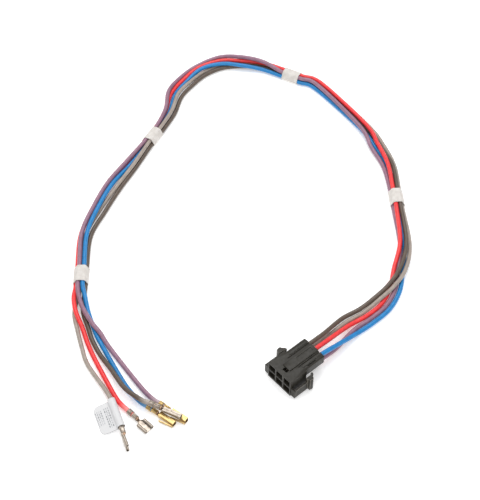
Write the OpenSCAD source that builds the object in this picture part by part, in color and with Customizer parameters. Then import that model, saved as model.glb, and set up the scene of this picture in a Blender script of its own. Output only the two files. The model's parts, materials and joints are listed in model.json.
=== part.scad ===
// Wiring harness for a trailer brake controller: a six-way side-latch plug, five leads held
// together by four tape bands, and a crimped socket terminal on the far end of each lead.
// The plug stands at the origin, its mating face towards -Y; the leads leave it towards +Y.

/* [Plug housing] */
// Width of the mating face and hood
hood_w = 16.6; // [16:0.1:18]
// Height of the plug
plug_h = 12; // [11.8:0.1:13]
// Length of the plug, mating face to wire end
plug_l = 24; // [24:0.5:28]
// Length of the wide front block under the hood
front_l = 11; // [10.5:0.1:12]
// Width of the narrower rear block
rear_w = 14.8; // [14.6:0.1:15.4]
// Clear width of one cavity mouth
mouth_w = 4.4; // [4.2:0.1:4.5]
// Clear height of one cavity mouth
mouth_h = 4.5; // [4.2:0.1:4.6]
// Free depth of a cavity in front of its contact
mouth_depth = 5.5; // [5:0.1:6]

/* [Side latches] */
// Thickness of a latch arm
arm_t = 1.2; // [0.9:0.1:1.3]
// Gap between a latch arm and the side of the plug
arm_gap = 1.7; // [1.6:0.1:2]
// Height of a latch arm
arm_h = 5.6; // [4:0.1:6]
// Height of a thumb pad
pad_h = 8.6; // [6:0.1:9]

/* [Wires] */
// Outer diameter of a wire's insulation
wire_d = 2.5; // [2:0.1:2.5]
// Outer diameter of the thinner ground wire
thin_d = 2.3; // [1.8:0.1:2.5]
// Length of each tape band
band_l = 11; // [8:0.5:12]
// Thickness of the wound tape
tape_t = 0.4; // [0.2:0.1:0.4]

/* [Terminals] */
// Thickness of the terminals' sheet metal
sheet_t = 0.4; // [0.3:0.05:0.5]
// Width of the two tab receptacles over their rolled edges
tab_w = 6.3; // [6:0.1:6.6]
// Length of a tab receptacle's rolled part
tab_l = 6.6; // [6:0.1:8]
// Side of the square box sockets
box_w = 3; // [2.8:0.1:3.2]
// Length of the box sockets
box_l = 9.5; // [8:0.5:10]

/* [Label] */
// Length of the flag label along its wire
flag_l = 17; // [12:0.5:18]
// Width of the flag label
flag_w = 9.5; // [8:0.5:12]

/* [Hidden] */
$fn = 32;
eps = 0.01;

charcoal = [0.16, 0.155, 0.145];
tin = [0.78, 0.74, 0.68];
brass = [0.85, 0.68, 0.32];
tape_white = [0.92, 0.9, 0.87];
brown = [0.42, 0.36, 0.31];
red = [0.93, 0.2, 0.2];
blue = [0.1, 0.5, 0.8];
gray = [0.72, 0.68, 0.64];
purple = [0.55, 0.4, 0.48];

// The cavities: three columns, two rows. The empty one is in the middle of the lower row.
front_y = -plug_l / 2;
rear_y = plug_l / 2;
step_y = front_y + front_l;
wall = 0.7;
col_front = (hood_w - 2 * wall - mouth_w) / 2;
col_rear = 4.3;
row_low = 3.3;
row_high = 8.9;
lower_rear = 4.3;
bore_r = wire_d / 2 + 0.15;
contact_w = 2.6;
contact_h = 2.6;
contact_back = 3;
contact_len = 9.5;
side_top = 6;
keel = 2;

// The latch arms start behind their feet, this far from the middle and above the ground
arm_x = hood_w / 2 + arm_gap;
hinge_y = front_y + 1.35;
arm_z = 0.6;

// x of a column and z of a row, at the front and where the wires leave
function col(k) = k * col_rear;
function row(r) = r > 0 ? row_high : lower_rear;

// Section of the rear block: upright sides above, drawn in towards the keel below
module rear_section() {
    foot = rear_w / 2 - 0.5 * (side_top - keel);
    polygon([[-foot, keel], [foot, keel], [rear_w / 2, side_top], [rear_w / 2, plug_h - 0.9],
        [rear_w / 2 - 0.7, plug_h - 0.5], [-rear_w / 2 + 0.7, plug_h - 0.5],
        [-rear_w / 2, plug_h - 0.9], [-rear_w / 2, side_top]]);
}

// A bar from y0 to y1 centred on x, between heights z0 and z1
module bar(x, w, y0, y1, z0, z1) {
    translate([x - w / 2, y0, z0]) cube([w, y1 - y0, z1 - z0]);
}

module housing() {
    foot_w = arm_gap + arm_t + 0.2;
    rib_w = 5.2;
    groove_w = 0.8;
    color(charcoal) difference() {
        union() {
            bar(0, hood_w, front_y, step_y, 0, plug_h - 0.5);
            translate([0, rear_y, 0]) rotate([90, 0, 0])
                linear_extrude(rear_y - step_y + eps) rear_section();
            // raised middle rib with its panel frame, and a rail along each shoulder
            bar(0.2, rib_w, front_y + 4.6, rear_y, plug_h - 1, plug_h);
            for (s = [-1, 1]) bar(s * 5.1, 1.1, step_y, rear_y, plug_h - 1, plug_h - 0.2);
            // feet that carry the two latch arms
            for (s = [-1, 1])
                bar(s * (hood_w / 2 + foot_w / 2 - 0.2), foot_w, front_y + 0.4, hinge_y - 0.15,
                    arm_z, arm_z + arm_h);
        }
        // cavity mouths, the chambers behind them and the wire passages
        for (k = [-1, 0, 1], r = [0, 1]) {
            mouth_z = r > 0 ? row_high - 0.1 : row_low;
            bar(k * col_front, mouth_w, front_y - 1, front_y + mouth_depth,
                mouth_z - mouth_h / 2, mouth_z + mouth_h / 2);
            bar(col(k), contact_w, front_y + mouth_depth - eps, contact_back,
                row(r) - contact_h / 2, row(r) + contact_h / 2);
            translate([col(k), rear_y + 1, row(r)]) rotate([90, 0, 0])
                cylinder(r = bore_r, h = rear_y - contact_back + 1 + eps);
        }
        // keyway notch ahead of the rib, its panel and the grooves on the shoulders
        bar(0.9, 3, front_y + 2.6, front_y + 4.6, plug_h - 1.4, plug_h);
        bar(0.2, 2.6, step_y + 1.5, rear_y - 1.8, plug_h - 0.3, plug_h + 1);
        for (x = [-3.6, 3.9]) bar(x, groove_w, step_y - 2, rear_y + 1, plug_h - 1, plug_h);
        bar(6.3, 0.6, step_y + 2.5, step_y + 8, plug_h - 1.1, plug_h);
    }
}

// Side latch: a cantilever arm rooted at the front, its free end swelling into a thumb pad.
// side is -1 for the left arm and 1 for the right one.
module latch(side) {
    arm_l = 9.2;
    color(charcoal) mirror([side < 0 ? 1 : 0, 0, 0]) union() {
        translate([arm_x, hinge_y, arm_z]) cube([arm_t, arm_l, arm_h]);
        translate([0, 0, arm_z]) linear_extrude(pad_h) union() {
            polygon([[arm_x, -3.2], [arm_x + arm_t, -3.2], [arm_x + arm_t, -2.6],
                [arm_x + 2.6, -2.4], [arm_x + 2.6, -0.6], [arm_x + 0.6, 1.6],
                [arm_x - 0.6, 1.9], [arm_x - 0.6, 0.9], [arm_x, 0.2]]);
            translate([arm_x + 1.6, -0.9]) circle(r = 1.25);
            translate([arm_x - 0.1, 1.2]) circle(r = 0.7);
        }
    }
}

// Cavity contact: a square socket with a round barrel behind it that holds the wire
module contact(k, r, metal) {
    socket = 6;
    color(metal) translate([col(k), contact_back, row(r)]) rotate([90, 0, 0]) difference() {
        union() {
            translate([-contact_w / 2, -contact_h / 2, contact_len - socket])
                cube([contact_w, contact_h, socket]);
            cylinder(r = contact_w / 2, h = contact_len - socket + eps);
        }
        translate([-0.9, -0.9, contact_len - socket + 1]) cube([1.8, 1.8, socket]);
    }
}

// Middle of each tape band and the way the bundle runs through it, in degrees
band_at = [[-122, -46.5], [-181, 49.5], [-166, 149.5], [-49.5, 124]];
band_dir = [320, 292, 201, 142];
band_half = 6.5;
function heading(a) = [cos(a), sin(a)];
function band_end(b, s) = band_at[b] + s * band_half * heading(band_dir[b]);

// Stations along the middle of the bundle, from the plug to the far end
spine = [[-1.5, 40], [-0.5, 52], [-1, 64], [-4, 76], [-11, 88], [-23.1, 103.2],
    band_end(3, -1), band_end(3, 1),
    [-70.8, 139.8], [-87, 146.5], [-104, 152], [-147.8, 156.5],
    band_end(2, -1), band_end(2, 1),
    [-184.7, 142], [-195, 133], [-203, 123], [-206.5, 110], [-205, 97], [-200.5, 84], [-190.9, 71],
    band_end(1, -1), band_end(1, 1),
    [-171.5, 25.2], [-164.5, 7], [-155.5, -10], [-144.8, -26.9],
    band_end(0, -1), band_end(0, 1),
    [-110, -56.3], [-102.5, -61.5], [-93.5, -66]];
station_band = [6, 7, 12, 13, 21, 22, 27, 28];
band_of = [3, 3, 2, 2, 1, 1, 0, 0];

// Each wire's lane: how far it lies to the right of the spine at each station, and its height
lane_red = [[-1.2, 2], [-0.9, 1.3], [-1, 1.3], [-2.7, 1.3], [-3.9, 2.2], [-2.6, 3.9],
    [-1.3, 4], [-1.3, 4], [-1, 3.9], [-0.2, 3.9], [0.7, 3.8], [1.2, 3.7], [1.3, 4], [1.3, 4],
    [1.3, 3.6], [1.6, 3.7], [2.6, 3.4], [3.9, 2.4], [3.9, 1.3], [3.8, 1.3], [3.3, 1.3],
    [2.6, 1.7], [2.6, 1.7], [3, 1.3], [3.2, 1.3], [3.1, 1.3], [2.8, 1.3], [2.6, 1.7], [2.6, 1.7],
    [3, 3.7], [2.2, 3.9], [0.5, 1.7]];
lane_purple = [[2.4, 1.3], [1.8, 1.3], [1.7, 1.3], [0.1, 1.3], [-1.6, 1.3], [-2.4, 1.3],
    [-2.6, 1.7], [-2.6, 1.7], [-3.4, 1.4], [-4.2, 2.2], [-3.3, 3.8], [-1.8, 3.8], [-1.3, 4],
    [-1.3, 4], [-0.2, 6.2], [2.4, 6.2], [5.3, 4.2], [6.4, 1.8], [6.5, 1.6], [5.2, 3.5],
    [2.9, 3.8], [1.3, 4], [1.3, 4], [2.3, 3.8], [2.9, 3.9], [2.6, 3.9], [1.9, 3.7], [1.3, 4],
    [1.3, 4], [0.2, 4.4], [-2, 4.3], [-4.9, 4]];
lane_blue = [[5.2, 2], [4.6, 1.3], [4.4, 1.3], [2.8, 1.3], [1.1, 1.3], [0.1, 1.3],
    [0, 1.7], [0, 1.7], [-0.7, 1.3], [-1.6, 1.3], [-2.5, 1.3], [-3.1, 1.3], [-2.6, 1.7],
    [-2.6, 1.7], [-2.9, 2.1], [-2.6, 3.6], [-0.8, 3.9], [1.2, 3.3], [1.3, 1.3], [1.1, 1.3],
    [0.6, 1.3], [0, 1.7], [0, 1.7], [0, 1.9], [0.2, 3.6], [-0.1, 3.9], [-1, 3.7], [-1.3, 4],
    [-1.3, 4], [-3, 3.8], [-4.2, 2.4], [-5.1, 1.3]];
lane_brown = [[-6.8, 2.2], [-6, 2.4], [-5.4, 3.2], [-3.6, 3.9], [-0.6, 4], [0.9, 3.9],
    [1.3, 4], [1.3, 4], [1.7, 3.3], [1.2, 1.6], [0.3, 1.3], [0, 1.3], [0, 1.7], [0, 1.7],
    [-0.3, 1.3], [-0.9, 1.3], [-2.1, 1.3], [-3.3, 1.3], [-3.8, 1.3], [-3.4, 1.3], [-2.8, 1.3],
    [-2.6, 1.7], [-2.6, 1.7], [-3.8, 1.3], [-4.5, 1.3], [-4.1, 1.3], [-3, 1.3], [-2.6, 1.7],
    [-2.6, 1.7], [-2.2, 1.3], [-1.6, 1.3], [-2.4, 1.3]];
lane_gray = [[-4.1, 1.3], [-3.7, 1.3], [-2.9, 3.1], [-0.8, 3.9], [2.4, 3.4], [3, 1.8],
    [2.6, 1.7], [2.6, 1.7], [3.3, 1.3], [3.8, 1.3], [3, 1.3], [2.9, 1.3], [2.6, 1.7], [2.6, 1.7],
    [2.8, 1.3], [1.8, 1.3], [0.7, 1.3], [-0.5, 1.3], [-1.4, 2.4], [-1.2, 3.3], [-1.1, 3.6],
    [-1.3, 4], [-1.3, 4], [-2.4, 3.5], [-2.5, 2.6], [-0.8, 1.3], [0, 1.3], [0, 1.7], [0, 1.7],
    [1.5, 1.3], [3.2, 1.3], [3.3, 1.3]];

// Where each wire meets its far terminal, and the terminal's heading in degrees
end_brown = [-32, -70, 5.3];
end_red = [-37, -79.5, 1.75];
end_blue = [-33, -70.7, 1.75];
end_gray = [-33.5, -87.5, 3.2];
end_purple = [-30.5, -65, 1.75];
aim_brown = 24;
aim_red = 5;
aim_blue = 13;
aim_gray = -20;
aim_purple = 13;

// The fanned-out stretch between the last station and the terminal
fan_brown = [[-84, -67.2, 1.3], [-74, -69.6, 1.3], [-62, -71.4, 3], [-48, -73.6, 4.4]];
fan_red = [[-84, -70.2, 1.3], [-73, -73.5, 1.3], [-49, -79.2, 1.4]];
fan_blue = [[-84, -63.9, 1.3], [-74, -66.3, 1.3], [-62, -69, 1.3], [-49, -71.4, 1.3]];
fan_gray = [[-84, -74, 1.3], [-73, -78.2, 1.3], [-51, -81.5, 2.4]];
fan_purple = [[-84, -61.9, 3], [-74, -63.3, 1.3], [-46, -66, 1.4]];

function unit(v) = v / norm(v);
function along(i) =
    let (b = [for (k = [0 : len(station_band) - 1]) if (station_band[k] == i) band_of[k]])
    len(b) > 0 ? heading(band_dir[b[0]])
        : unit(spine[min(i + 1, len(spine) - 1)] - spine[max(i - 1, 0)]);
function in_lane(lane) = [for (i = [0 : len(spine) - 1])
    let (t = along(i), p = spine[i] + lane[i][0] * [t[1], -t[0]]) [p[0], p[1], lane[i][1]]];
function route(k, r, drop, lane, fan, end, aim) = concat(
    [[col(k), contact_back, row(r)], [col(k), rear_y, row(r)], drop],
    in_lane(lane), fan, [end - 5 * [cos(aim), sin(aim), 0], end]);

// A smooth curve through the points of a route, cut into rings about ring_gap apart
ring_gap = 9.5;
function curve_at(p, i, u) =
    let (n = len(p),
        a = i > 0 ? p[i - 1] : 2 * p[0] - p[1],
        d = i + 2 < n ? p[i + 2] : 2 * p[n - 1] - p[n - 2])
    0.5 * (2 * p[i] + (p[i + 1] - a) * u + (2 * a - 5 * p[i] + 4 * p[i + 1] - d) * u * u
        + (3 * p[i] - a - 3 * p[i + 1] + d) * u * u * u);
function curve(p) = concat([for (i = [0 : len(p) - 2])
    let (n = max(1, round(norm(p[i + 1] - p[i]) / ring_gap + 0.3)))
    for (j = [0 : n - 1]) curve_at(p, i, j / n)], [p[len(p) - 1]]);

// A tube of the given diameter swept along a route
sides = 8;
module tube(p, d) {
    c = curve(p);
    n = len(c);
    rings = [for (i = [0 : n - 1])
        let (t = unit(c[min(i + 1, n - 1)] - c[max(i - 1, 0)]),
            u = unit(cross([0, 0, 1], t)), v = cross(t, u))
        for (j = [0 : sides - 1])
            c[i] + d / 2 * (cos(360 * (j + 0.5) / sides) * u + sin(360 * (j + 0.5) / sides) * v)];
    skin = [for (i = [0 : n - 2], j = [0 : sides - 1])
        let (a = i * sides + j, b = i * sides + (j + 1) % sides)
        each [[a, a + sides, b], [b, a + sides, b + sides]]];
    caps = [[for (j = [0 : sides - 1]) j], [for (j = [0 : sides - 1]) n * sides - 1 - j]];
    polyhedron(concat([for (q = rings) q]), concat(skin, caps));
}

module wire_brown() color(brown)
    tube(route(-1, 1, [-5.2, 24, 7], lane_brown, fan_brown, end_brown, aim_brown), wire_d);
module wire_red() color(red)
    tube(route(0, 1, [-0.7, 24, 7], lane_red, fan_red, end_red, aim_red), wire_d);
module wire_blue() color(blue)
    tube(route(1, 1, [4.6, 24, 7], lane_blue, fan_blue, end_blue, aim_blue), wire_d);
module wire_gray() color(gray)
    tube(route(-1, 0, [-4.6, 24, 3], lane_gray, fan_gray, end_gray, aim_gray), thin_d);
module wire_purple() color(purple)
    tube(route(1, 0, [3.9, 24, 3], lane_purple, fan_purple, end_purple, aim_purple), wire_d);

// Puts a terminal on its wire's end: x runs forward from the wire, z is the height over the wire
module at_end(end, aim) translate(end) rotate([0, 0, aim]) children();

// The round barrels that grip the wire: a wide one round the insulation and, after a neck,
// a narrow one round the bare strands. The bare strands fill the bore of both.
strand_r = 0.85;
grip_r = 1.7;
grip_l = 2.6;
crimp_r = 1.3;
crimp_x = 3.2;
crimp_l = 3;
module barrels() {
    difference() {
        union() {
            rotate([0, 90, 0]) cylinder(r = grip_r, h = grip_l);
            translate([crimp_x, 0, 0]) rotate([0, 90, 0]) cylinder(r = crimp_r, h = crimp_l);
            translate([grip_l - 0.1, -0.9, -grip_r]) cube([crimp_x + crimp_l - grip_l, 1.8, grip_r]);
        }
        translate([-1, 0, 0]) rotate([0, 90, 0]) cylinder(r = strand_r, h = crimp_x + crimp_l + 3);
    }
}

// The bare strands of a stripped wire end, inside its terminal's barrels
module conductor(end, aim) color(brass) at_end(end, aim)
    rotate([0, 90, 0]) cylinder(r = strand_r, h = crimp_x + crimp_l + 0.6);

// Tab receptacle: a flat floor whose two edges roll over to grip a 4.8 mm tab
roll_r = 1;
roll_y = tab_w / 2 - roll_r;
module tab_receptacle() {
    start = crimp_x + crimp_l + 2.2;
    floor_z = -grip_r;
    barrels();
    translate([crimp_x + crimp_l - 0.5, -1.1, floor_z]) cube([start - crimp_x - crimp_l + 1, 2.2, sheet_t]);
    translate([start, -roll_y, floor_z]) cube([tab_l, 2 * roll_y, sheet_t]);
    for (s = [-1, 1]) translate([start, s * roll_y, floor_z + roll_r]) rotate([0, 90, 0])
        difference() {
            cylinder(r = roll_r, h = tab_l);
            translate([0, 0, -1]) cylinder(r = roll_r - sheet_t, h = tab_l + 2);
            // the slot that the tab slides into
            translate([-0.75 + roll_r - sheet_t, s > 0 ? -2 : 0, -1]) cube([0.8, 2, tab_l + 2]);
        }
}

// Box socket: a square tube ahead of the barrels, open at its front
module box_socket(w, h, l) {
    start = crimp_x + crimp_l + 1.4;
    barrels();
    translate([crimp_x + crimp_l - 0.5, -0.9, -grip_r]) cube([start - crimp_x - crimp_l + 1, 1.8, sheet_t]);
    translate([start, -w / 2, -grip_r]) difference() {
        cube([l, w, h]);
        translate([-1, sheet_t, sheet_t]) cube([l + 2, w - 2 * sheet_t, h - 2 * sheet_t]);
    }
}

slim_w = 2.8;
slim_h = 2.2;
module terminal_brown() color(tin) at_end(end_brown, aim_brown) box_socket(slim_w, slim_h, box_l + 0.5);
module terminal_red() color(tin) at_end(end_red, aim_red) tab_receptacle();
module terminal_gray() color(tin) at_end(end_gray, aim_gray) rotate([-90, 0, 0]) tab_receptacle();
module terminal_blue() color(brass) at_end(end_blue, aim_blue) box_socket(box_w, box_w, box_l);
module terminal_purple() color(brass) at_end(end_purple, aim_purple) box_socket(box_w, box_w, box_l);

// Locking lance of a box socket: a spring tongue rooted at the mouth, folded back along the side
lance_x = crimp_x + crimp_l + 1.4 + box_l;
lance_l = 7;
lance_w = 1.4;
lance_t = 0.35;
lance_gap = 0.15;
lance_root = 0.8;
lance_spread = 10;
module lance(end, aim) color(brass) at_end(end, aim)
    translate([lance_x - lance_root, -box_w / 2 - lance_gap - lance_t, -grip_r + 0.2])
        linear_extrude(lance_w) union() {
            square([lance_root, lance_t]);
            translate([0, lance_t / 2]) circle(r = lance_t / 2);
            rotate(lance_spread) translate([-lance_l, 0]) square([lance_l, lance_t]);
        }

// Flag label: wrapped round the gray wire and its barrel, the free ends stuck together
wrap_r = grip_r + 0.05;
wrap_t = 0.25;
flag_start = -14.6;
flag_tilt = 11;
module flag_label() color(tape_white) at_end(end_gray, aim_gray) translate([flag_start, 0, 0]) {
    rotate([0, 90, 0]) difference() {
        cylinder(r = wrap_r + wrap_t, h = flag_l);
        translate([0, 0, -eps]) cylinder(r = wrap_r, h = flag_l + 2 * eps);
    }
    rotate([flag_tilt, 0, 0]) translate([0, -wrap_r - flag_w, -0.9]) cube([flag_l, flag_w, 0.3]);
}

// Outline of the bundle inside a tape band, grown by g: three wires below, two above
tape_slack = 0.16;
low = 1.7;
high = 4;
pitch = 2.6;
arc_steps = 6;
function bundle_section(g) =
    let (r = wire_d / 2 + tape_slack + g,
        corner = [[-pitch, low], [pitch, low], [pitch / 2, high], [-pitch / 2, high]],
        way = [for (i = [0 : 3]) let (e = corner[(i + 1) % 4] - corner[i]) atan2(e[1], e[0])])
    [for (i = [0 : 3])
        let (from = way[(i + 3) % 4] - 90, turn = (way[i] - way[(i + 3) % 4] + 360) % 360)
        for (k = [0 : arc_steps]) corner[i] + r * heading(from + turn * k / arc_steps)];

module tape_band(b) color(tape_white)
    translate([band_at[b][0], band_at[b][1], 0]) rotate([0, 0, band_dir[b]])
        translate([-band_l / 2, 0, 0]) rotate([90, 0, 90]) linear_extrude(band_l) difference() {
            polygon(bundle_section(tape_t - tape_slack));
            polygon(bundle_section(0));
        }

housing();
latch(-1);  // latch_left
latch(1);  // latch_right
contact(-1, 1, tin);  // contact_brown
contact(0, 1, tin);  // contact_red
contact(1, 1, tin);  // contact_blue
contact(-1, 0, tin);  // contact_gray
contact(1, 0, tin);  // contact_purple
wire_brown();
wire_red();
wire_blue();
wire_gray();
wire_purple();
conductor(end_brown, aim_brown);  // conductor_brown
conductor(end_red, aim_red);  // conductor_red
conductor(end_blue, aim_blue);  // conductor_blue
conductor(end_gray, aim_gray);  // conductor_gray
conductor(end_purple, aim_purple);  // conductor_purple
terminal_brown();
terminal_red();
terminal_blue();
terminal_gray();
terminal_purple();
lance(end_blue, aim_blue);  // lance_blue
lance(end_purple, aim_purple);  // lance_purple
flag_label();
tape_band(0);  // tape_band_1
tape_band(1);  // tape_band_2
tape_band(2);  // tape_band_3
tape_band(3);  // tape_band_4
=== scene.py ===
"""A trailer brake controller's wiring harness: a plug, five leads, tape bands and terminals."""
import json
import math

import bmesh
import bpy
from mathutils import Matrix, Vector, noise


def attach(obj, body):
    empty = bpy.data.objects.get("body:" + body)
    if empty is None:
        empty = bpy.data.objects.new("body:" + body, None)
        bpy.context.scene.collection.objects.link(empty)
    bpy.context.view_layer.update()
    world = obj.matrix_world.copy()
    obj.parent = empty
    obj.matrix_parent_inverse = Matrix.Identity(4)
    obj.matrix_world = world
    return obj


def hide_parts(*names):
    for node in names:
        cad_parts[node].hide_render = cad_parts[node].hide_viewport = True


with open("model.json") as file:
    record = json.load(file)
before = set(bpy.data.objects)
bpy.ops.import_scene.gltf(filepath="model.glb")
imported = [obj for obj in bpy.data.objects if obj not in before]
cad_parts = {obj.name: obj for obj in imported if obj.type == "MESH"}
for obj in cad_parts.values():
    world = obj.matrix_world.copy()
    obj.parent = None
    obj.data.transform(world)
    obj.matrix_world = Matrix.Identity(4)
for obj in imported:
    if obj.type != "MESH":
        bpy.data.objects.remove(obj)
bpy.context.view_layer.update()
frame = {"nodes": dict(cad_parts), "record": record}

# The camera, lamps and floor are placed in metres. All else is in millimetres of the row frame.
MM = 0.001

COLOURS = ("brown", "red", "blue", "gray", "purple")
WIRE_D = 2.5
THIN_D = 2.3


# ---------------------------------------------------------------- camera, floor and light

def look(obj, place, target):
    obj.location = Vector(place)
    obj.rotation_mode = "QUATERNION"
    obj.rotation_quaternion = (Vector(target) - Vector(place)).to_track_quat("-Z", "Y")


CAMERA_PLACE = (0.2438, -0.2501, 0.5126)
CAMERA_TARGET = (-0.0808, 0.0321, 0.0)
CAMERA_LENS = 86.6
STAGE_CENTRE = (-0.08, 0.03, 0)
FLOOR_SIZE = 8
FLOOR_Z = -0.0002
# place, diameter and power of each soft lamp
LAMPS = {"key": ((-0.5, 0.35, 1.1), 0.9, 6),
         "fill": ((0.7, -0.6, 0.9), 1.1, 2.5),
         "top": ((-0.05, 0.05, 1.5), 1.6, 6)}


def make_camera():
    cam = bpy.data.objects.new("camera", bpy.data.cameras.new("camera"))
    bpy.context.collection.objects.link(cam)
    cam.data.lens = CAMERA_LENS
    cam.data.sensor_width = 36
    cam.data.clip_start = 0.01
    look(cam, CAMERA_PLACE, CAMERA_TARGET)
    bpy.context.scene.camera = cam


def area_light(name, place, target, size, power):
    data = bpy.data.lights.new(name, "AREA")
    data.shape = "DISK"
    data.size = size
    data.energy = power
    light = bpy.data.objects.new(name, data)
    bpy.context.collection.objects.link(light)
    look(light, place, target)


def make_stage():
    bpy.ops.mesh.primitive_plane_add(size=FLOOR_SIZE, location=(*STAGE_CENTRE[:2], FLOOR_Z))
    floor = bpy.context.object
    floor.name = "floor"
    mat, bsdf = material("floor_paper", (0.95, 0.95, 0.95), 0.85)[:2]
    bsdf.inputs["Emission Color"].default_value = (1, 1, 1, 1)
    bsdf.inputs["Emission Strength"].default_value = 0.3
    floor.data.materials.append(mat)
    for name, (place, size, power) in LAMPS.items():
        area_light(name, place, STAGE_CENTRE, size, power)
    world = bpy.data.worlds.new("studio")
    bpy.context.scene.world = world
    world.use_nodes = True
    sky = world.node_tree.nodes["Background"]
    sky.inputs["Color"].default_value = (1, 1, 1, 1)
    sky.inputs["Strength"].default_value = 0.6
    bpy.context.scene.view_settings.view_transform = "Standard"


# ---------------------------------------------------------------- materials

def linear(rgb):
    """Screen colour, 0 to 255, to the linear colour that a shader takes."""
    out = []
    for c in rgb:
        c = c / 255
        out.append(c / 12.92 if c <= 0.04045 else ((c + 0.055) / 1.055) ** 2.4)
    return tuple(out)


def material(name, colour, rough, metal=0.0):
    mat = bpy.data.materials.new(name)
    mat.use_nodes = True
    nodes, links = mat.node_tree.nodes, mat.node_tree.links
    bsdf = nodes["Principled BSDF"]
    bsdf.inputs["Base Color"].default_value = (*colour, 1)
    bsdf.inputs["Roughness"].default_value = rough
    bsdf.inputs["Metallic"].default_value = metal
    return mat, bsdf, nodes, links


def scaled_noise(nodes, links, scale, detail=3.0, stretch=(1, 1, 1), coords="Object"):
    where = nodes.new("ShaderNodeTexCoord")
    mapping = nodes.new("ShaderNodeMapping")
    mapping.inputs["Scale"].default_value = stretch
    tex = nodes.new("ShaderNodeTexNoise")
    tex.inputs["Scale"].default_value = scale
    tex.inputs["Detail"].default_value = detail
    links.new(where.outputs[coords], mapping.inputs["Vector"])
    links.new(mapping.outputs["Vector"], tex.inputs["Vector"])
    return tex.outputs["Fac"]


def ramp(nodes, links, fac, stops):
    node = nodes.new("ShaderNodeValToRGB")
    links.new(fac, node.inputs["Fac"])
    elements = node.color_ramp.elements
    while len(elements) < len(stops):
        elements.new(0.5)
    for element, (at, colour) in zip(elements, stops):
        element.position = at
        element.color = (*colour, 1) if len(colour) == 3 else (colour[0],) * 3 + (1,)
    return node.outputs["Color"]


def add_bump(nodes, links, bsdf, height, strength, distance):
    bump = nodes.new("ShaderNodeBump")
    bump.inputs["Strength"].default_value = strength
    bump.inputs["Distance"].default_value = distance
    links.new(height, bump.inputs["Height"])
    links.new(bump.outputs["Normal"], bsdf.inputs["Normal"])


def shade(colour, k):
    return tuple(min(1, c * k) for c in colour)


def pvc(name, rgb, tip_rgb):
    """Extruded insulation: a fine die grain along the wire, faint handling marks, a pale tip."""
    base = linear(rgb)
    mat, bsdf, nodes, links = material(name, base, 0.42)
    mottled = ramp(nodes, links, scaled_noise(nodes, links, 420, 4),
                   [(0.3, shade(base, 0.86)), (0.7, shade(base, 1.12))])
    tip = nodes.new("ShaderNodeAttribute")
    tip.attribute_name = "tip"
    mix = nodes.new("ShaderNodeMix")
    mix.data_type = "RGBA"
    links.new(tip.outputs["Fac"], mix.inputs["Factor"])
    links.new(mottled, mix.inputs["A"])
    mix.inputs["B"].default_value = (*linear(tip_rgb), 1)
    links.new(mix.outputs["Result"], bsdf.inputs["Base Color"])
    rough = ramp(nodes, links, scaled_noise(nodes, links, 900, 2),
                 [(0.35, (0.34,)), (0.75, (0.5,))])
    links.new(rough, bsdf.inputs["Roughness"])
    grain = scaled_noise(nodes, links, 60, 3, (6, 60, 1), "UV")
    add_bump(nodes, links, bsdf, grain, 0.25, 0.00008)
    bsdf.inputs["Coat Weight"].default_value = 0.15
    bsdf.inputs["Coat Roughness"].default_value = 0.3
    return mat


def moulded_plastic(name, rgb):
    """Glass-filled nylon: fine spark texture, slightly lighter rubbed patches."""
    base = linear(rgb)
    mat, bsdf, nodes, links = material(name, base, 0.5)
    colour = ramp(nodes, links, scaled_noise(nodes, links, 260, 5),
                  [(0.25, shade(base, 0.75)), (0.8, shade(base, 1.25))])
    links.new(colour, bsdf.inputs["Base Color"])
    rough = ramp(nodes, links, scaled_noise(nodes, links, 700, 3), [(0.3, (0.42,)), (0.8, (0.6,))])
    links.new(rough, bsdf.inputs["Roughness"])
    add_bump(nodes, links, bsdf, scaled_noise(nodes, links, 2600, 2), 0.3, 0.00006)
    bsdf.inputs["Specular IOR Level"].default_value = 0.4
    return mat


def sheet_metal(name, rgb, rough, tarnish):
    """Stamped sheet: drawn lines along the strip and cloudy tarnish."""
    base = linear(rgb)
    mat, bsdf, nodes, links = material(name, base, rough, 1.0)
    colour = ramp(nodes, links, scaled_noise(nodes, links, 500, 4),
                  [(0.35, shade(base, tarnish)), (0.65, base)])
    links.new(colour, bsdf.inputs["Base Color"])
    cloud = ramp(nodes, links, scaled_noise(nodes, links, 800, 3),
                 [(0.3, (rough * 0.75,)), (0.75, (min(1, rough * 1.35),))])
    links.new(cloud, bsdf.inputs["Roughness"])
    add_bump(nodes, links, bsdf, scaled_noise(nodes, links, 1500, 2, (0.25, 1, 1)), 0.25, 0.00005)
    return mat


def crepe_tape():
    base = linear((222, 217, 211))
    mat, bsdf, nodes, links = material("crepe_tape", base, 0.7)
    colour = ramp(nodes, links, scaled_noise(nodes, links, 350, 4),
                  [(0.3, linear((204, 198, 192))), (0.7, linear((222, 218, 213)))])
    links.new(colour, bsdf.inputs["Base Color"])
    add_bump(nodes, links, bsdf, scaled_noise(nodes, links, 14, 4, (40, 5, 1), "UV"), 0.2, 0.0001)
    bsdf.inputs["Subsurface Weight"].default_value = 0.1
    bsdf.inputs["Subsurface Radius"].default_value = (0.001, 0.001, 0.001)
    return mat


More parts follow.
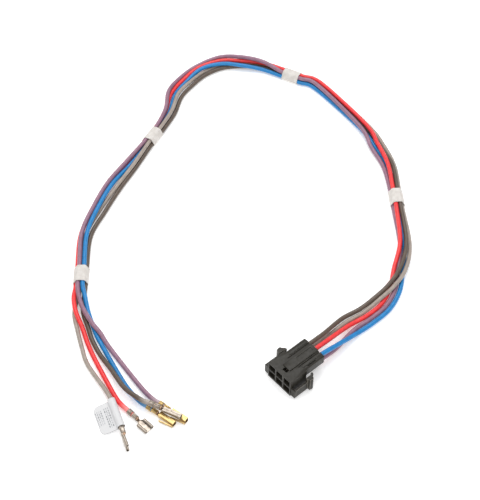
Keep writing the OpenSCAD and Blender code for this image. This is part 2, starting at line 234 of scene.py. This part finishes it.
def label_paper():
    """Coated white paper with rows of plain grey bars where print would be."""
    mat, bsdf, nodes, links = material("label_paper", linear((218, 218, 219)), 0.5)
    where = nodes.new("ShaderNodeTexCoord")
    bars = nodes.new("ShaderNodeTexBrick")
    bars.inputs["Scale"].default_value = 10
    bars.inputs["Color1"].default_value = (*linear((120, 122, 126)), 1)
    bars.inputs["Color2"].default_value = (*linear((190, 191, 194)), 1)
    bars.inputs["Mortar"].default_value = (*linear((218, 218, 219)), 1)
    bars.inputs["Mortar Size"].default_value = 0.22
    bars.inputs["Brick Width"].default_value = 1.5
    bars.inputs["Row Height"].default_value = 0.95
    bars.offset = 0.37
    bars.squash = 0.6
    links.new(where.outputs["UV"], bars.inputs["Vector"])
    printed = nodes.new("ShaderNodeAttribute")
    printed.attribute_name = "printed"
    mix = nodes.new("ShaderNodeMix")
    mix.data_type = "RGBA"
    links.new(printed.outputs["Fac"], mix.inputs["Factor"])
    mix.inputs["A"].default_value = (*linear((218, 218, 219)), 1)
    links.new(bars.outputs["Color"], mix.inputs["B"])
    links.new(mix.outputs["Result"], bsdf.inputs["Base Color"])
    add_bump(nodes, links, bsdf, scaled_noise(nodes, links, 600, 3), 0.15, 0.00005)
    return mat


# ---------------------------------------------------------------- the wires' routes

COL = 4.3
ROW_HIGH, ROW_LOW = 8.9, 4.3
CONTACT_BACK = 3
REAR_Y = 12
BAND_AT = [(-122, -46.5), (-181, 49.5), (-166, 149.5), (-49.5, 124)]
BAND_DIR = [320, 292, 201, 142]
BAND_HALF = 6.5
BAND_L = 11


def heading(a):
    return Vector((math.cos(math.radians(a)), math.sin(math.radians(a))))


def band_end(b, s):
    return tuple(Vector(BAND_AT[b]) + s * BAND_HALF * heading(BAND_DIR[b]))


SPINE = [(-1.5, 40), (-0.5, 52), (-1, 64), (-4, 76), (-11, 88), (-23.1, 103.2),
         band_end(3, -1), band_end(3, 1),
         (-70.8, 139.8), (-87, 146.5), (-104, 152), (-147.8, 156.5),
         band_end(2, -1), band_end(2, 1),
         (-184.7, 142), (-195, 133), (-203, 123), (-206.5, 110), (-205, 97),
         (-200.5, 84), (-190.9, 71),
         band_end(1, -1), band_end(1, 1),
         (-171.5, 25.2), (-164.5, 7), (-155.5, -10), (-144.8, -26.9),
         band_end(0, -1), band_end(0, 1),
         (-110, -56.3), (-102.5, -61.5), (-93.5, -66)]
# the tape band that a station is an end of
BAND_OF = {6: 3, 7: 3, 12: 2, 13: 2, 21: 1, 22: 1, 27: 0, 28: 0}

# each wire's distance to the right of the spine, and its height, at each station
LANE = {
    "red": [(-1.2, 2), (-0.9, 1.3), (-1, 1.3), (-2.7, 1.3), (-3.9, 2.2), (-2.6, 3.9),
            (-1.3, 4), (-1.3, 4), (-1, 3.9), (-0.2, 3.9), (0.7, 3.8), (1.2, 3.7),
            (1.3, 4), (1.3, 4), (1.3, 3.6), (1.6, 3.7), (2.6, 3.4), (3.9, 2.4), (3.9, 1.3),
            (3.8, 1.3), (3.3, 1.3), (2.6, 1.7), (2.6, 1.7), (3, 1.3), (3.2, 1.3), (3.1, 1.3),
            (2.8, 1.3), (2.6, 1.7), (2.6, 1.7), (3, 3.7), (2.2, 3.9), (0.5, 1.7)],
    "purple": [(2.4, 1.3), (1.8, 1.3), (1.7, 1.3), (0.1, 1.3), (-1.6, 1.3), (-2.4, 1.3),
               (-2.6, 1.7), (-2.6, 1.7), (-3.4, 1.4), (-4.2, 2.2), (-3.3, 3.8), (-1.8, 3.8),
               (-1.3, 4), (-1.3, 4), (-0.2, 6.2), (2.4, 6.2), (5.3, 4.2), (6.4, 1.8), (6.5, 1.6),
               (5.2, 3.5), (2.9, 3.8), (1.3, 4), (1.3, 4), (2.3, 3.8), (2.9, 3.9), (2.6, 3.9),
               (1.9, 3.7), (1.3, 4), (1.3, 4), (0.2, 4.4), (-2, 4.3), (-4.9, 4)],
    "blue": [(5.2, 2), (4.6, 1.3), (4.4, 1.3), (2.8, 1.3), (1.1, 1.3), (0.1, 1.3),
             (0, 1.7), (0, 1.7), (-0.7, 1.3), (-1.6, 1.3), (-2.5, 1.3), (-3.1, 1.3), (-2.6, 1.7),
             (-2.6, 1.7), (-2.9, 2.1), (-2.6, 3.6), (-0.8, 3.9), (1.2, 3.3), (1.3, 1.3), (1.1, 1.3),
             (0.6, 1.3), (0, 1.7), (0, 1.7), (0, 1.9), (0.2, 3.6), (-0.1, 3.9), (-1, 3.7),
             (-1.3, 4), (-1.3, 4), (-3, 3.8), (-4.2, 2.4), (-5.1, 1.3)],
    "brown": [(-6.8, 2.2), (-6, 2.4), (-5.4, 3.2), (-3.6, 3.9), (-0.6, 4), (0.9, 3.9),
              (1.3, 4), (1.3, 4), (1.7, 3.3), (1.2, 1.6), (0.3, 1.3), (0, 1.3), (0, 1.7), (0, 1.7),
              (-0.3, 1.3), (-0.9, 1.3), (-2.1, 1.3), (-3.3, 1.3), (-3.8, 1.3), (-3.4, 1.3),
              (-2.8, 1.3), (-2.6, 1.7), (-2.6, 1.7), (-3.8, 1.3), (-4.5, 1.3), (-4.1, 1.3),
              (-3, 1.3), (-2.6, 1.7), (-2.6, 1.7), (-2.2, 1.3), (-1.6, 1.3), (-2.4, 1.3)],
    "gray": [(-4.1, 1.3), (-3.7, 1.3), (-2.9, 3.1), (-0.8, 3.9), (2.4, 3.4), (3, 1.8),
             (2.6, 1.7), (2.6, 1.7), (3.3, 1.3), (3.8, 1.3), (3, 1.3), (2.9, 1.3), (2.6, 1.7),
             (2.6, 1.7), (2.8, 1.3), (1.8, 1.3), (0.7, 1.3), (-0.5, 1.3), (-1.4, 2.4), (-1.2, 3.3),
             (-1.1, 3.6), (-1.3, 4), (-1.3, 4), (-2.4, 3.5), (-2.5, 2.6), (-0.8, 1.3), (0, 1.3),
             (0, 1.7), (0, 1.7), (1.5, 1.3), (3.2, 1.3), (3.3, 1.3)],
}
# column, row height, the point where the wire drops from the plug
START = {"brown": (-1, ROW_HIGH, (-5.2, 24, 7)), "red": (0, ROW_HIGH, (-0.7, 24, 7)),
         "blue": (1, ROW_HIGH, (4.6, 24, 7)), "gray": (-1, ROW_LOW, (-4.6, 24, 3)),
         "purple": (1, ROW_LOW, (3.9, 24, 3))}
# past the last station each wire fans out to its own terminal, aimed at an angle in degrees
FAN = {"brown": [(-84, -67.2, 1.3), (-74, -69.6, 1.3), (-62, -71.4, 3), (-48, -73.6, 4.4)],
       "red": [(-84, -70.2, 1.3), (-73, -73.5, 1.3), (-49, -79.2, 1.4)],
       "blue": [(-84, -63.9, 1.3), (-74, -66.3, 1.3), (-62, -69, 1.3), (-49, -71.4, 1.3)],
       "gray": [(-84, -74, 1.3), (-73, -78.2, 1.3), (-51, -81.5, 2.4)],
       "purple": [(-84, -61.9, 3), (-74, -63.3, 1.3), (-46, -66, 1.4)]}
END = {"brown": (-32, -70, 5.3), "red": (-37, -79.5, 1.75), "blue": (-33, -70.7, 1.75),
       "gray": (-33.5, -87.5, 3.2), "purple": (-30.5, -65, 1.75)}
AIM = {"brown": 24, "red": 5, "blue": 13, "gray": -20, "purple": 13}


def in_lane(lane):
    """A wire's points beside the spine."""
    out = []
    for i, (side, height) in enumerate(lane):
        if i in BAND_OF:
            t = heading(BAND_DIR[BAND_OF[i]])
        else:
            a, b = SPINE[max(i - 1, 0)], SPINE[min(i + 1, len(SPINE) - 1)]
            t = (Vector(b) - Vector(a)).normalized()
        out.append((SPINE[i][0] + side * t.y, SPINE[i][1] - side * t.x, height))
    return out


def route(name):
    """A wire's points from its contact, out of the plug and along the bundle to its terminal."""
    k, z, drop = START[name]
    end = Vector(END[name])
    lead = end - 5 * Vector((*heading(AIM[name]), 0))
    points = [(k * COL, CONTACT_BACK, z), (k * COL, REAR_Y, z), drop]
    points += in_lane(LANE[name]) + FAN[name] + [lead, end]
    return [Vector(p) for p in points]


def curve_at(p, i, u):
    """The smooth curve through points p, at u of the way from p[i] to p[i + 1]."""
    n = len(p)
    a = p[i - 1] if i > 0 else 2 * p[0] - p[1]
    d = p[i + 2] if i + 2 < n else 2 * p[n - 1] - p[n - 2]
    b, c = p[i], p[i + 1]
    return 0.5 * (2 * b + (c - a) * u + (2 * a - 5 * b + 4 * c - d) * u * u
                  + (3 * b - a - 3 * c + d) * u ** 3)


def smooth_line(points, gap=1.3):
    out = []
    for i in range(len(points) - 1):
        n = max(2, round((points[i + 1] - points[i]).length / gap))
        out += [curve_at(points, i, k / n) for k in range(n)]
    return out + [points[-1]]


# ---------------------------------------------------------------- mesh helpers

def shade_smooth(obj):
    for poly in obj.data.polygons:
        poly.use_smooth = True


def new_object(name, verts, faces, mat):
    """A smooth mesh from points in millimetres."""
    mesh = bpy.data.meshes.new(name)
    mesh.from_pydata([tuple(Vector(v) * MM) for v in verts], [], faces)
    mesh.validate()
    mesh.materials.append(mat)
    obj = bpy.data.objects.new(name, mesh)
    bpy.context.collection.objects.link(obj)
    shade_smooth(obj)
    return obj


def rings_mesh(rings, closed=True, cap=True):
    """Faces between rings of equal length, with flat fans on the two ends."""
    n, m = len(rings), len(rings[0])
    verts = [v for ring in rings for v in ring]
    faces = []
    for i in range(n - 1):
        for j in range(m if closed else m - 1):
            a, b = i * m + j, i * m + (j + 1) % m
            faces.append((a, b, b + m, a + m))
    if cap and closed:
        faces.append(tuple(reversed(range(m))))
        faces.append(tuple(range((n - 1) * m, n * m)))
    return verts, faces


def add_uv(obj, values):
    """values: one (u, v) per vertex."""
    layer = obj.data.uv_layers.new(name="UVMap")
    for loop in obj.data.loops:
        layer.data[loop.index].uv = values[loop.vertex_index]


def add_attribute(obj, name, values):
    layer = obj.data.attributes.new(name, "FLOAT", "POINT")
    for i, value in enumerate(values):
        layer.data[i].value = value


WIRE_SIDES = 20
IN_GRIP = 2.8       # how far the insulation runs on inside its terminal's grip
TIP_START = 9       # the pale tip begins this far before the wire's very end
TIP_FADE = 5
TIP_STRENGTH = 0.85


def diameter(name):
    return THIN_D if name == "gray" else WIRE_D


def make_wire(name, mat):
    """The insulation as a swept tube, a little uneven, with a trimmed end inside its terminal."""
    d = diameter(name)
    points = route(name)
    line = smooth_line(points)
    line.append(line[-1] + IN_GRIP * Vector((*heading(AIM[name]), 0)))
    rings, uvs, tips = [], [], []
    run = 0
    total = sum((b - a).length for a, b in zip(line, line[1:]))
    for i, p in enumerate(line):
        if i:
            run += (p - line[i - 1]).length
        t = (line[min(i + 1, len(line) - 1)] - line[max(i - 1, 0)]).normalized()
        u = Vector((0, 0, 1)).cross(t).normalized()
        v = t.cross(u)
        ring = []
        for j in range(WIRE_SIDES):
            a = 2 * math.pi * j / WIRE_SIDES
            wobble = 0.012 * noise.noise(Vector((run * 0.25, 3 * math.cos(a), 3 * math.sin(a))))
            r = d / 2 * (0.995 + wobble)
            ring.append(p + r * (math.cos(a) * u + math.sin(a) * v))
            uvs.append((run / 100, j / WIRE_SIDES))
            tips.append(max(0, min(1, (run - total + TIP_START) / TIP_FADE)) * TIP_STRENGTH)
        rings.append(ring)
    verts, faces = rings_mesh(rings)
    obj = new_object("wire_" + name + "_jacket", verts, faces, mat)
    add_uv(obj, uvs)
    add_attribute(obj, "tip", tips)
    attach(obj, "root")
    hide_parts("wire_" + name)
    return obj, line, total


make_camera()
make_stage()

WIRE_RGB = {"brown": ((88, 74, 63), (182, 172, 163)), "red": ((240, 52, 54), (250, 150, 146)),
            "blue": ((0, 124, 190), (112, 166, 212)), "gray": ((160, 148, 138), (190, 182, 174)),
            "purple": ((146, 108, 128), (190, 170, 176))}
for colour in COLOURS:
    mat = pvc("pvc_" + colour, *WIRE_RGB[colour])
    make_wire(colour, mat)

cad_material = {
    "nylon": moulded_plastic("moulded_nylon", (37, 34, 26)),
    # a lighter copy of the nylon, laid on every rounded edge of the housing as a painted highlight
    "nylon_painted_highlight": moulded_plastic("nylon_rim_painted_highlight", (132, 126, 116)),
    "tin": sheet_metal("tinned_sheet", (176, 165, 153), 0.42, 0.8),
    "brass": sheet_metal("brass_sheet", (212, 182, 124), 0.33, 0.75),
    "copper": sheet_metal("tinned_strands", (214, 178, 150), 0.4, 0.8),
}


# ---------------------------------------------------------------- plug and latches

BODY_OF = {node: body for body, members in frame["record"]["behaviour"]["bodies"].items()
           for node in members}


def paint(node, mat):
    obj = frame["nodes"][node]
    obj.data.materials.clear()
    obj.data.materials.append(mat)


def softened(node, mat, width, segments=3, slot="housing"):
    """A copy of a CAD node with its edges rounded as a mould rounds them."""
    source = frame["nodes"][node]
    obj = bpy.data.objects.new(node + "_moulding", source.data.copy())
    bpy.context.collection.objects.link(obj)
    bm = bmesh.new()
    bm.from_mesh(obj.data)
    bmesh.ops.remove_doubles(bm, verts=bm.verts, dist=1e-6)
    bmesh.ops.dissolve_limit(bm, angle_limit=math.radians(2), verts=bm.verts, edges=bm.edges)
    bm.to_mesh(obj.data)
    bm.free()
    obj.data.materials.clear()
    obj.data.materials.append(mat)
    bevel = obj.modifiers.new("rounding", "BEVEL")
    bevel.width = width * MM
    bevel.segments = segments
    bevel.limit_method = "ANGLE"
    bevel.angle_limit = math.radians(35)
    bevel.harden_normals = True
    bevel.use_clamp_overlap = True
    # the housing's rounded bevel faces take the lighter nylon: a painted highlight along its edges
    if slot == "housing":
        obj.data.materials.append(cad_material["nylon_painted_highlight"])
        bevel.material = 1
    shade_smooth(obj)
    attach(obj, BODY_OF[node])
    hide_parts(node)
    return obj


softened("housing", cad_material["nylon"], 0.16)
softened("latch_left", cad_material["nylon"], 0.18)
softened("latch_right", cad_material["nylon"], 0.18)
METAL = {"brown": "tin", "red": "tin", "blue": "brass", "gray": "tin", "purple": "brass"}
for colour in COLOURS:
    metal = METAL[colour]
    softened("contact_" + colour, cad_material[metal], 0.12, 2, metal)
    paint("conductor_" + colour, cad_material["copper"])
for node in ("lance_blue", "lance_purple"):
    softened(node, cad_material["brass"], 0.07, 2, "brass")
label_mat = label_paper()
tape_mat = crepe_tape()


# ---------------------------------------------------------------- terminals

def resample(points, n, closed=False):
    """n points at equal steps along a polyline, its two ends kept."""
    points = [Vector(p) for p in points] + ([Vector(points[0])] if closed else [])
    lengths = [0]
    for a, b in zip(points, points[1:]):
        lengths.append(lengths[-1] + (b - a).length)
    out, k = [], 0
    for i in range(n):
        at = lengths[-1] * i / (n if closed else n - 1)
        while k < len(points) - 2 and lengths[k + 1] < at:
            k += 1
        step = max(1e-9, lengths[k + 1] - lengths[k])
        out.append(points[k].lerp(points[k + 1], (at - lengths[k]) / step))
    return out


def mirrored(left):
    """A symmetric open outline from its left half, which ends on the centre line."""
    return left + [(-y, z) for y, z in reversed(left[:-1])]


def barrel(r, seam=6):
    return [(r * math.sin(math.radians(a)), r * math.cos(math.radians(a)))
            for a in [-seam - k * (360 - 2 * seam) / 40 for k in range(41)]]


def crimp(k):
    """Both wings curled over and driven down into the strands."""
    return mirrored([(-0.04 * k, 0.9 * k), (-0.12 * k, 1.06 * k), (-0.38 * k, 1.2 * k),
                     (-0.75 * k, 1.1 * k), (-1.04 * k, 0.7 * k), (-1.12 * k, 0.1 * k),
                     (-1.1 * k, -0.5 * k), (-0.92 * k, -1.05 * k), (-0.5 * k, -1.25 * k),
                     (0, -1.28 * k)])


def trough(half, wing, floor=-1.55):
    return mirrored([(-half - 0.12, floor + wing), (-half - 0.05, floor + 0.3 * wing),
                     (-half + 0.15, floor + 0.05), (0, floor)])


def rolled(k):
    """A flat floor with both edges rolled over."""
    return mirrored([(-1.35, -0.95 * k - 0.1), (-1.35, -0.35), (-1.75, 0.0), (-2.25, 0.1),
                     (-2.75, -0.15), (-3.0, -0.7), (-2.8, -1.3), (-2.3, -1.55), (-1.5, -1.56),
                     (0, -1.56)])


def boxed(w, h):
    top, side = h - 1.83, w / 2 - 0.13
    return mirrored([(-0.06, top), (-side + 0.25, top), (-side + 0.06, top - 0.06),
                     (-side, top - 0.25), (-side, -1.3), (-side + 0.06, -1.5),
                     (-side + 0.25, -1.57), (0, -1.57)])


ROOT_END = [(0, barrel(1.64, 3)), (0.25, barrel(1.52, 3)), (2.3, barrel(1.52, 3)),
            (2.55, barrel(1.6, 9)), (2.75, trough(1.0, 1.6)), (3.1, trough(0.95, 1.3)),
            (3.2, crimp(1.12)), (3.45, crimp(1.04)), (4.6, crimp(1.0)), (5.9, crimp(1.04)),
            (6.15, crimp(1.12)), (6.35, trough(0.9, 1.2)), (6.9, trough(0.72, 0.8))]


def tab_stations():
    return ROOT_END + [(7.6, trough(0.85, 0.75)), (8.3, trough(1.5, 0.9)), (8.75, rolled(0.6)),
                       (9.1, rolled(0.9)), (14.7, rolled(0.9)), (14.95, rolled(0.7))]


BOX_START = 7.6


def box_stations(w, h, l):
    return ROOT_END + [(7.3, trough(w / 2 - 0.35, h * 0.4)), (7.75, boxed(w, h)),
                       (8.2, boxed(w, h)), (BOX_START + l - 0.3, boxed(w, h)),
                       (BOX_START + l, boxed(w - 0.05, h))]


def placed(v, name, roll=0):
    """From a terminal's own frame, x forward along the wire's end, to the row frame."""
    x, y, z = v
    c, s = math.cos(math.radians(roll)), math.sin(math.radians(roll))
    y, z = y * c - z * s, y * s + z * c
    a = math.radians(AIM[name])
    return Vector(END[name]) + Vector((x * math.cos(a) - y * math.sin(a),
                                       x * math.sin(a) + y * math.cos(a), z))


def sheet_part(name, verts, faces, mat, thickness, sharp=32):
    obj = new_object(name, verts, faces, mat)
    bm = bmesh.new()
    bm.from_mesh(obj.data)
    bmesh.ops.solidify(bm, geom=bm.faces[:], thickness=thickness * MM)
    bmesh.ops.recalc_face_normals(bm, faces=bm.faces[:])
    bm.to_mesh(obj.data)
    bm.free()
    shade_smooth(obj)
    obj.data.set_sharp_from_angle(angle=math.radians(sharp))
    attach(obj, "root")
    return obj


PROFILE_POINTS = 45
SHEET_T = 0.22


def make_terminal(name, stations, roll=0):
    metal = METAL[name]
    rings = [[placed((x, p.x, p.y), name, roll) for p in resample(profile, PROFILE_POINTS)]
             for x, profile in stations]
    verts, faces = rings_mesh(rings, closed=False)
    obj = sheet_part("terminal_%s_stamping" % name, verts, faces, cad_material[metal], SHEET_T)
    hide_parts("terminal_" + name)
    return obj


make_terminal("brown", box_stations(2.8, 2.2, 10))
make_terminal("red", tab_stations())
make_terminal("gray", tab_stations(), roll=-90)
make_terminal("blue", box_stations(3, 3, 9.5))
make_terminal("purple", box_stations(3, 3, 9.5))


# ---------------------------------------------------------------- label and tape bands

LABEL_START = -14.6     # along the gray terminal's own frame
LABEL_LENGTH = 17
WRAP_R = 1.87
FLAG_ROOT = -1.85
FLAG_REACH = 8.6
FLAG_TILT = 11
CORNER_R = 3
PLY_GAP = 0.24
ALONG, ACROSS, AROUND = 34, 22, 28


def flag_reach(x):
    """The flag's width at x, less at its two rounded corners."""
    d = max(0, CORNER_R - min(x - LABEL_START, LABEL_START + LABEL_LENGTH - x))
    return FLAG_REACH - CORNER_R * (1 - math.sqrt(max(0, 1 - (d / CORNER_R) ** 2)))


def in_print(x, side):
    """Whether a point of the flag lies in either block of bars."""
    return 0.9 < side < 3.6 and -12 < x < 0 or 5 < side < 8.3 and -11.5 < x < -3


def label_section(x):
    """The strip's outline at x: one ply of the flag, the turn round the wire, the other ply."""
    reach = flag_reach(x)
    curl = 0.15 * math.sin(0.45 * x)
    ply = []
    for k in range(ACROSS):
        y = FLAG_ROOT - reach * (1 - k / ACROSS)
        ply.append((y, -0.62 + curl * ((FLAG_ROOT - y) / FLAG_REACH) ** 2))
    turns = [math.radians(197 - k * 345 / AROUND) for k in range(AROUND + 1)]
    loop = [(WRAP_R * math.cos(a), WRAP_R * math.sin(a)) for a in turns]
    return ply + loop + [(y, z - PLY_GAP) for y, z in reversed(ply)]


def make_label():
    """One strip wrapped round the wire, its two ends stuck together as a flag."""
    c, t = math.cos(math.radians(FLAG_TILT)), math.sin(math.radians(FLAG_TILT))
    rings, uvs, printed = [], [], []
    for i in range(ALONG + 1):
        x = LABEL_START + LABEL_LENGTH * i / ALONG
        ring = []
        for j, (y, z) in enumerate(label_section(x)):
            ring.append(placed((x, y * c - z * t, y * t + z * c), "gray"))
            side = FLAG_ROOT - y
            uvs.append((x / 10, side / 10))
            on_flag = not ACROSS <= j <= ACROSS + AROUND
            printed.append(1.0 if on_flag and in_print(x, side) else 0.0)
        rings.append(ring)
    verts, faces = rings_mesh(rings, closed=False)
    obj = new_object("label_sheet", verts, faces, label_mat)
    add_uv(obj, uvs)
    add_attribute(obj, "printed", printed)
    bm = bmesh.new()
    bm.from_mesh(obj.data)
    bmesh.ops.solidify(bm, geom=bm.faces[:], thickness=0.1 * MM)
    bm.to_mesh(obj.data)
    bm.free()
    shade_smooth(obj)
    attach(obj, "root")
    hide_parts("flag_label")
    return obj


def bundle_outline(g):
    """Three wires below and two above, the outline of their wrapping grown by g."""
    r = WIRE_D / 2 + 0.06 + g
    corners = [Vector(c) for c in ((-2.6, 1.7), (2.6, 1.7), (1.3, 4), (-1.3, 4))]
    out = []
    for i in range(4):
        a, b, c = corners[i - 1], corners[i], corners[(i + 1) % 4]
        before = math.degrees(math.atan2(b.y - a.y, b.x - a.x))
        after = math.degrees(math.atan2(c.y - b.y, c.x - b.x))
        turn = (after - before + 360) % 360
        out += [b + r * heading(before - 90 + turn * k / 6) for k in range(7)]
    return out


BAND_POINTS = 84
BAND_STEPS = 22
CUT_END = (50, 72)      # the outline points that the last ply of tape covers
PLY_T = 0.1


def band_ring(k, x, section, bulge, edge, uvs):
    """One creased outline of band k at x along it. edge is -1 or 1 at an uneven rim, or 0."""
    along = heading(BAND_DIR[k])
    line = []
    for j, p in enumerate(section):
        n = Vector((p.x, (p.y - 2.7))).normalized()
        turn = 2 * math.pi * j / BAND_POINTS
        c, t = math.cos(turn), math.sin(turn)
        crease = noise.noise(Vector((x * 0.28 + 9 * k, 2.2 * c, 2.2 * t)))
        fine = noise.noise(Vector((x * 0.9 + 31 * k, 7 * c, 7 * t)))
        ply = PLY_T if CUT_END[0] < j < CUT_END[1] else 0.0
        q = p + n * bulge * (0.02 + 0.04 * crease + 0.015 * fine + ply)
        skew = edge * 0.22 * noise.noise(Vector((5 * k + edge, 2 * c, 2 * t)))
        flat = Vector(BAND_AT[k]) + (x + skew) * along + q.x * Vector((-along.y, along.x))
        line.append(Vector((*flat, max(0.04, q.y))))
        uvs.append((x / 20, j / BAND_POINTS))
    return line


def make_band(k):
    """A few turns of crepe tape: soft creases, a lifted cut end, slightly uneven rims."""
    inner = resample(bundle_outline(0.02), BAND_POINTS, True)
    outer = resample(bundle_outline(0.3), BAND_POINTS, True)
    inner_x, outer_x = BAND_L / 2 - 0.3, BAND_L / 2 - 0.15
    uvs = []
    rings = [band_ring(k, -inner_x, inner, 0, -1, uvs)]
    for i in range(BAND_STEPS + 1):
        x = -outer_x + 2 * outer_x * i / BAND_STEPS
        soft = min(1, (i + 0.4) / 1.4, (BAND_STEPS - i + 0.4) / 1.4)
        rim = -1 if i == 0 else 1 if i == BAND_STEPS else 0
        rings.append(band_ring(k, x, outer, soft, rim, uvs))
    rings.append(band_ring(k, inner_x, inner, 0, 1, uvs))
    verts, faces = rings_mesh(rings, cap=False)
    last = (len(rings) - 1) * BAND_POINTS
    for j in range(BAND_POINTS):
        after = (j + 1) % BAND_POINTS
        faces.append((last + j, last + after, after, j))
    obj = new_object("tape_wrap_%d" % (k + 1), verts, faces, tape_mat)
    add_uv(obj, uvs)
    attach(obj, "root")
    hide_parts("tape_band_%d" % (k + 1))
    return obj


make_label()
for b in range(4):
    make_band(b)

for colour in COLOURS:
    with_pieces = ["terminal_%s_stamping" % colour, "conductor_" + colour]
    if colour in ("blue", "purple"):
        with_pieces.append("lance_%s_moulding" % colour)
    if colour == "gray":
        with_pieces.append("label_sheet")
    if colour == "red":
        with_pieces += ["tape_wrap_%d" % b for b in range(1, 5)]
